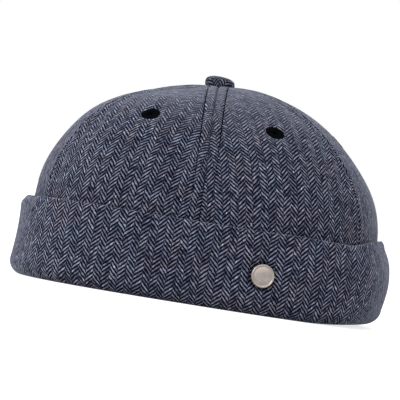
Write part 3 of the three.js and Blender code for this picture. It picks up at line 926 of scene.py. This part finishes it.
def cuff_profile(azimuth):
    """The band's section at many azimuths: (azimuths, points, 2) of stand-off and height."""
    measures = cuff_measures(azimuth)
    wide, high = measures["wide"], measures["high"]
    lift = rim_lift(azimuth)
    low = lift + high
    shoulder = CUFF_HEIGHT - CUFF_EDGE_ROUND
    floor = lift + FOLD_THICKNESS

    def outside(z):
        return cuff_stand_off(azimuth, z)

    def inside(z):
        off = cuff_stand_off(azimuth, np.maximum(z, low)) - CUFF_CLOTH
        return np.maximum(off, POCKET_CLEARANCE)

    line = []

    def add(off, z):
        line.append(np.stack([off + 0 * azimuth, z + 0 * azimuth], -1))

    add(POCKET_CLEARANCE, floor)
    add(np.maximum(inside(low) - wide / 4, POCKET_CLEARANCE), floor + 0.5)
    for share in np.linspace(0, 1, 14):
        z = low + CUFF_CLOTH / 2 + (shoulder - low - CUFF_CLOTH / 2) * share
        add(inside(z), z)
    edge_middle = (inside(shoulder) + outside(shoulder)) / 2
    edge_half = (outside(shoulder) - inside(shoulder)) / 2
    for angle in arc(168, 90, 6):
        add(edge_middle + edge_half * math.cos(angle), shoulder + CUFF_EDGE_ROUND * math.sin(angle))
    below = CUFF_HEIGHT - EDGE_FALL
    edge_half = outside(below) - edge_middle
    for angle in arc(78, 6, 7):
        add(edge_middle + edge_half * math.cos(angle), below + EDGE_FALL * math.sin(angle))
    for share in np.linspace(0, 1, 24):
        z = below + (low - below) * share
        add(outside(z), z)
    bottom = outside(low)
    for angle in arc(9, 90, 10):
        add(bottom - wide * (1 - math.cos(angle)), low - high * math.sin(angle))
    hem_back = HEM_FACE - HEM_CLOTH
    for share in (0.33, 0.66):
        add((bottom - wide) * (1 - share) + (hem_back + FOLD_INNER_ROUND) * share, lift)
    for angle in arc(0, 90, 5):
        in_by, up_by = 1 - math.sin(angle), 1 - math.cos(angle)
        add(hem_back + FOLD_INNER_ROUND * in_by, lift + FOLD_INNER_ROUND * up_by)
    hem_round = HEM_CLOTH / 2
    hem_shoulder = HEM_HEIGHT - hem_round
    for share in np.linspace(0.2, 0.95, 6):
        add(hem_back, lift + FOLD_INNER_ROUND + (hem_shoulder - lift - FOLD_INNER_ROUND) * share)
    for angle in arc(180, 0, 9):
        add(hem_back + hem_round * (1 + math.cos(angle)), hem_shoulder + hem_round * math.sin(angle))
    for share in (0.35, 0.7):
        add(HEM_FACE, hem_shoulder + (floor - hem_shoulder) * share)
    add(HEM_FACE, floor)
    add(POCKET_CLEARANCE, floor)
    return np.stack(line, 1)


def cuff():
    """The turned-up band, with its soft upper edge, its rolled fold and a joining seam at the back."""
    azimuth = np.linspace(math.pi, 3 * math.pi, CUFF_SECTIONS + 1)
    x, y, out_x, out_y = head_oval(azimuth)
    profile = cuff_profile(azimuth)
    off, z = profile[..., 0], profile[..., 1]
    run = oval_run(azimuth)

    def place(stand_off):
        across = x[:, None] + out_x[:, None] * stand_off
        back = y[:, None] + out_y[:, None] * stand_off
        return np.stack([across, back, z], -1)

    smooth = place(off)
    turned_up = smoothstep(off, 0.5, 2.2) * smoothstep(z, 2, 9)
    waves = soft_waves(smooth, **BAND_WAVES) * turned_up
    from_seam = np.minimum(run - run[0], run[-1] - run)[:, None]
    seam = seam_relief(from_seam, radius=100, topstitched=False) * turned_up * BAND_SEAM_SHARE
    from_stud = np.linalg.norm(smooth - stud_place()[0], axis=-1)
    away = smoothstep(from_stud, STUD_RADIUS + STUD_DIMPLE_FROM, STUD_RADIUS + STUD_DIMPLE_TO)
    pressed = STUD_DIMPLE * (1 - away) * turned_up
    at_left = smoothstep(np.sin(azimuth), *EDGE_CHANGES_BETWEEN)[:, None]
    at_right = smoothstep(-np.sin(azimuth), *EDGE_CHANGES_BETWEEN)[:, None]
    rolled = at_left * smoothstep(z, ROLLS_IN_ABOVE_LEFT, CUFF_HEIGHT)
    rolled = rolled + at_right * smoothstep(z, ROLLS_IN_ABOVE_RIGHT, CUFF_HEIGHT)
    rolled = EDGE_ROLLS_IN * rolled * smoothstep(off, 1, 3.6)
    points = place(off + waves + seam - pressed - rolled)
    edge = soft_waves(smooth * [1, 1, 0], **EDGE_WAVES) + EDGE_RISE * at_left - EDGE_SINK * at_right
    points[..., 2] += edge * smoothstep(z, 20, CUFF_HEIGHT)
    points[-1] = points[0]
    along = arc_lengths(smooth)
    askew = BAND_SKEW * run[:, None]
    cloth = np.stack([np.broadcast_to(run[:, None], along.shape), BAND_CLOTH_TOP - along + askew], -1)

    band = Patchwork()
    quarter = CUFF_SECTIONS // 4
    for q in range(4):
        part = slice(q * quarter, (q + 1) * quarter + 1)
        left, low = 0.5 * (q % 2), 0.5 * (q // 2)
        spot = (left + 0.004, low + 0.004, left + 0.496, low + 0.496)
        band.add(points[part], cloth[part], spot)
    piece = band.build("band", CUFF_FINISH)
    return stands_for(piece, "herringbone_cloth", "cuff")


# Trims


def seat_frame(point, outward, up=(0, 0, 1)):
    """Placement of a trim: its origin, and its right, up and outward directions."""
    out = Vector(outward).normalized()
    right = Vector(up).cross(out).normalized()
    return np.array(point), np.array(right), np.array(out.cross(right)), np.array(out)


def on_seat(seat, local):
    """Points (..., 3) in a seat's right, up, outward directions, to the cap's own place."""
    point, right, up, out = seat
    return point + local[..., :1] * right + local[..., 1:2] * up + local[..., 2:] * out


def turned(seat, radii, heights, steps, ripple=None):
    """A turned surface on a seat: rows along the profile, columns round it."""
    turn = np.linspace(0, 2 * math.pi, steps + 1)
    turn[-1] = 0
    r = np.array(radii)[:, None] * np.ones_like(turn)
    h = np.array(heights)[:, None] * np.ones_like(turn)
    if ripple is not None:
        r, h = ripple(r, h, turn)
    local = np.stack([r * np.cos(turn), r * np.sin(turn), h], -1)
    return on_seat(seat, local), local


def rounded_line(corners, count):
    """Points along a smooth curve through a few (radius, height) corners."""
    corners = np.array(corners, float)
    run = arc_lengths(corners)
    at = np.linspace(0, run[-1], count)
    line = np.stack([np.interp(at, run, corners[:, k]) for k in range(2)], -1)
    for _ in range(3):
        line[1:-1] = (line[:-2] + 2 * line[1:-1] + line[2:]) / 4
    return line


def eyelet(index):
    """A worked vent eyelet: black thread wound close over a ring, with a small hole."""
    middle = panel_middle(index)
    seat = seat_frame(crown_point(middle, EYELET_RISE), crown_normal(middle, EYELET_RISE))
    lengths = rng.uniform(-0.3, 0.15, EYELET_STITCHES)
    line = rounded_line([
        (EYELET_HOLE, -2.9), (EYELET_HOLE, -0.9), (EYELET_HOLE + 0.15, -0.3), (1.9, 0.04), (2.9, 0.14),
        (3.9, 0.06), (4.7, -0.2), (EYELET_RADIUS + 0.05, -0.5), (4.3, -0.8), (2.2, -0.9), (2.1, -2.2),
        (3.4, -2.4), (3.2, -2.9), (EYELET_HOLE, -2.9),
    ], 64)

    def worked(r, h, turn):
        around = turn / (2 * math.pi) * EYELET_STITCHES
        thread = np.abs(np.sin(math.pi * around))
        length = lengths[np.floor(around).astype(int) % EYELET_STITCHES]
        upper = smoothstep(h, -0.7, -0.1)
        r = r + (length + 0.1 * thread) * smoothstep(r, 3.5, 4.8) * upper
        h = h + 0.14 * (thread - 0.5) * upper * smoothstep(r, 0.9, 1.8)
        return r, h - r**2 / 190

    grid, local = turned(seat, line[:, 0], line[:, 1], EYELET_STITCHES * 6, worked)
    grid[-1] = grid[0]
    ring = Patchwork()
    ring.add(grid, local[..., :2], (0.01, 0.01, 0.99, 0.99), flip=True)
    piece = ring.build(f"worked_eyelet_{PANELS[index]}", THREAD_FINISH, sharp=80)
    return stands_for(piece, "eyelet_thread", f"eyelet_{PANELS[index]}")


def closed_turned(
    name, seat, corners, count, steps, material, ripple=None, sharp=50, cloth_middle=(0, 0)
):
    """A turned solid whose profile starts and ends on its axis, with cloth drawn over its top."""
    line = rounded_line(corners, count)
    grid, local = turned(seat, line[:, 0], line[:, 1], steps, ripple)
    run = arc_lengths(line)
    turn = np.linspace(0, 2 * math.pi, steps + 1)
    from_top = (run[-1] - run)[:, None]
    cloth = np.stack([from_top * np.cos(turn), from_top * np.sin(turn)], -1)
    solid = Patchwork()
    solid.add(grid, cloth + cloth_middle, (0.01, 0.01, 0.99, 0.99))
    return solid.build(name, material, sharp=sharp)


def top_button():
    """The button, covered in the cap's cloth, which is gathered under its edge."""
    tilt = math.radians(BUTTON_TILT)
    seat = seat_frame((-LEAN, 0, APEX_Z), (math.sin(tilt), 0, math.cos(tilt)), up=(0, 1, 0))

    def gathered(r, h, turn):
        folds = np.sin(turn * 11 + 0.8) + 0.6 * np.sin(turn * 17 + 2.1)
        side = smoothstep(r, 6.4, 7.3) * (1 - smoothstep(h, 0.6, 2.4))
        return r + 0.07 * folds * side, h

    piece = closed_turned("covered_button", seat, [
        (0, -2.9), (3.9, -2.9), (3.9, -2.3), (1.7, -2.2), (1.7, -0.4), (6.2, -0.9), (7.2, -0.5),
        (BUTTON_RADIUS, 0.8), (BUTTON_RADIUS - 0.1, 2.3), (7.0, 3.5), (5.6, 4.4), (3.4, 5.0),
        (0, BUTTON_HEIGHT),
    ], 70, 96, BUTTON_FINISH, gathered, sharp=70, cloth_middle=BUTTON_CLOTH_MIDDLE)
    return stands_for(piece, "herringbone_cloth", "top_button")


def stud():
    """The round metal stud: a low plain dome inside a rolled edge, its post and back plate."""
    seat = seat_frame(*stud_place())
    piece = closed_turned("stud", seat, [
        (0, -4.0), (3.4, -4.0), (3.4, -3.35), (1.6, -3.3), (1.6, -0.5), (4.9, -0.5), (5.5, -0.2),
        (STUD_RADIUS, 0.5), (5.72, 1.1), (5.35, 1.5), (4.95, 1.4), (4.7, 1.0), (4.4, 1.1), (3.4, 1.55),
        (2.0, 1.9), (0, 2.05),
    ], 120, 96, METAL_FINISH, sharp=60)
    return stands_for(piece, "stud_metal", "cuff_stud")


# The cap

for number in range(len(PANELS)):
    crown_panel(number)
    eyelet(number)
topstitching()
cuff()
top_button()
stud()


# Studio

# The floor's radius and how far it lies under the rim, in metres
FLOOR_RADIUS = 30
UNDER_RIM = 0.0001


def floor():
    """A wide pale floor, open all round."""
    bpy.ops.mesh.primitive_circle_add(vertices=96, radius=FLOOR_RADIUS, fill_type="NGON")
    ground = bpy.context.object
    ground.location.z = -UNDER_RIM
    ground.name = "floor"
    material, n, shader = new_material("pale floor")
    place = n.add("ShaderNodeTexCoord").outputs["Object"]
    seen = n.add("ShaderNodeLightPath").outputs["Is Camera Ray"]
    plain = n.mix(n.noise(place, 3), (0.46, 0.46, 0.46, 1), (0.5, 0.5, 0.5, 1))
    n.feed(shader.inputs["Base Color"], n.mix(seen, (0.55, 0.55, 0.55, 1), plain))
    n.feed(shader.inputs["Emission Color"], n.mix(seen, (0.073, 0.073, 0.073, 1), (1, 1, 1, 1)))
    shader.inputs["Roughness"].default_value = 0.9
    shader.inputs["Specular IOR Level"].default_value = 0.1
    shader.inputs["Emission Strength"].default_value = 0.75
    ground.data.materials.append(material)


# Soft round lights: each one's place, what it points at, its size and its power
LIGHTS = {
    "key": ((-1.3, -1.0, 1.2), (0, 0, 0.05), 0.9, 9),
    "side": ((-1.7, 0.4, 0.6), (0, 0, 0.05), 1.0, 12),
    "back": ((0.2, 1.5, 1.3), (0, 0, 0.08), 1.2, 5),
    "far side": ((1.7, 0.5, 0.2), (0, 0, 0.03), 0.6, 3),
}


def soft_light(name, place, aim, size, power):
    lamp = bpy.data.lights.new(name, "AREA")
    lamp.shape = "DISK"
    lamp.size = size
    lamp.energy = power
    light = in_scene(name, lamp)
    light.location = place
    light.rotation_euler = (Vector(aim) - Vector(place)).to_track_quat("-Z", "Y").to_euler()
    light.visible_camera = False


def studio():
    """A pale sky that is brighter overhead and on the wearer's right, plain white to the camera."""
    world = bpy.data.worlds.new("studio")
    bpy.context.scene.world = world
    world.use_nodes = True
    n = Nodes(world.node_tree)
    side, _, height = n.parts(n.add("ShaderNodeTexCoord").outputs["Generated"])
    lightness = n.math("SUBTRACT", height, n.math("MULTIPLY", side, 0.25))
    sky = n.mix(n.smooth(lightness, -0.2, 0.95), (0.68, 0.68, 0.69, 1), (1.42, 1.42, 1.42, 1))
    seen = n.add("ShaderNodeLightPath").outputs["Is Camera Ray"]
    n.feed(world.node_tree.nodes["Background"].inputs["Color"], n.mix(seen, sky, (1, 1, 1, 1)))
    for name, light in LIGHTS.items():
        soft_light(name, *light)


# The photograph's view: level, a little to the wearer's left, and rolled clockwise
PHOTO_SIZE = 400
PHOTO_SCALE = 1.99
PHOTO_MIDDLE_X = 209.0
PHOTO_MIDDLE_Y = 202.0
MIDDLE_HEIGHT = 50
CAMERA_DISTANCE = 2048
CAMERA_TURN = 2.2
CAMERA_ROLL = 9.12
SENSOR_WIDTH = 36


def camera():
    turn, roll = math.radians(CAMERA_TURN), math.radians(CAMERA_ROLL)
    back = Vector((math.sin(turn), -math.cos(turn), 0))
    level_right = Vector((math.cos(turn), math.sin(turn), 0))
    up = Vector((0, 0, 1))
    right = level_right * math.cos(roll) + up * math.sin(roll)
    top = up * math.cos(roll) - level_right * math.sin(roll)
    middle = Vector(SHIFT) + up * MIDDLE_HEIGHT
    aim = middle - right * (PHOTO_MIDDLE_X - PHOTO_SIZE / 2) / PHOTO_SCALE
    aim += top * (PHOTO_MIDDLE_Y - PHOTO_SIZE / 2) / PHOTO_SCALE
    data = bpy.data.cameras.new("camera")
    data.sensor_width = SENSOR_WIDTH
    data.lens = SENSOR_WIDTH * PHOTO_SCALE * CAMERA_DISTANCE / PHOTO_SIZE
    data.clip_start = 0.1
    data.clip_end = 100
    eye = in_scene("camera", data)
    facing = Matrix((right, top, back)).transposed().to_4x4()
    eye.matrix_world = Matrix.Translation((aim + back * CAMERA_DISTANCE) * MM) @ facing
    bpy.context.scene.camera = eye


floor()
studio()
camera()
bpy.context.scene.view_settings.view_transform = "Standard"
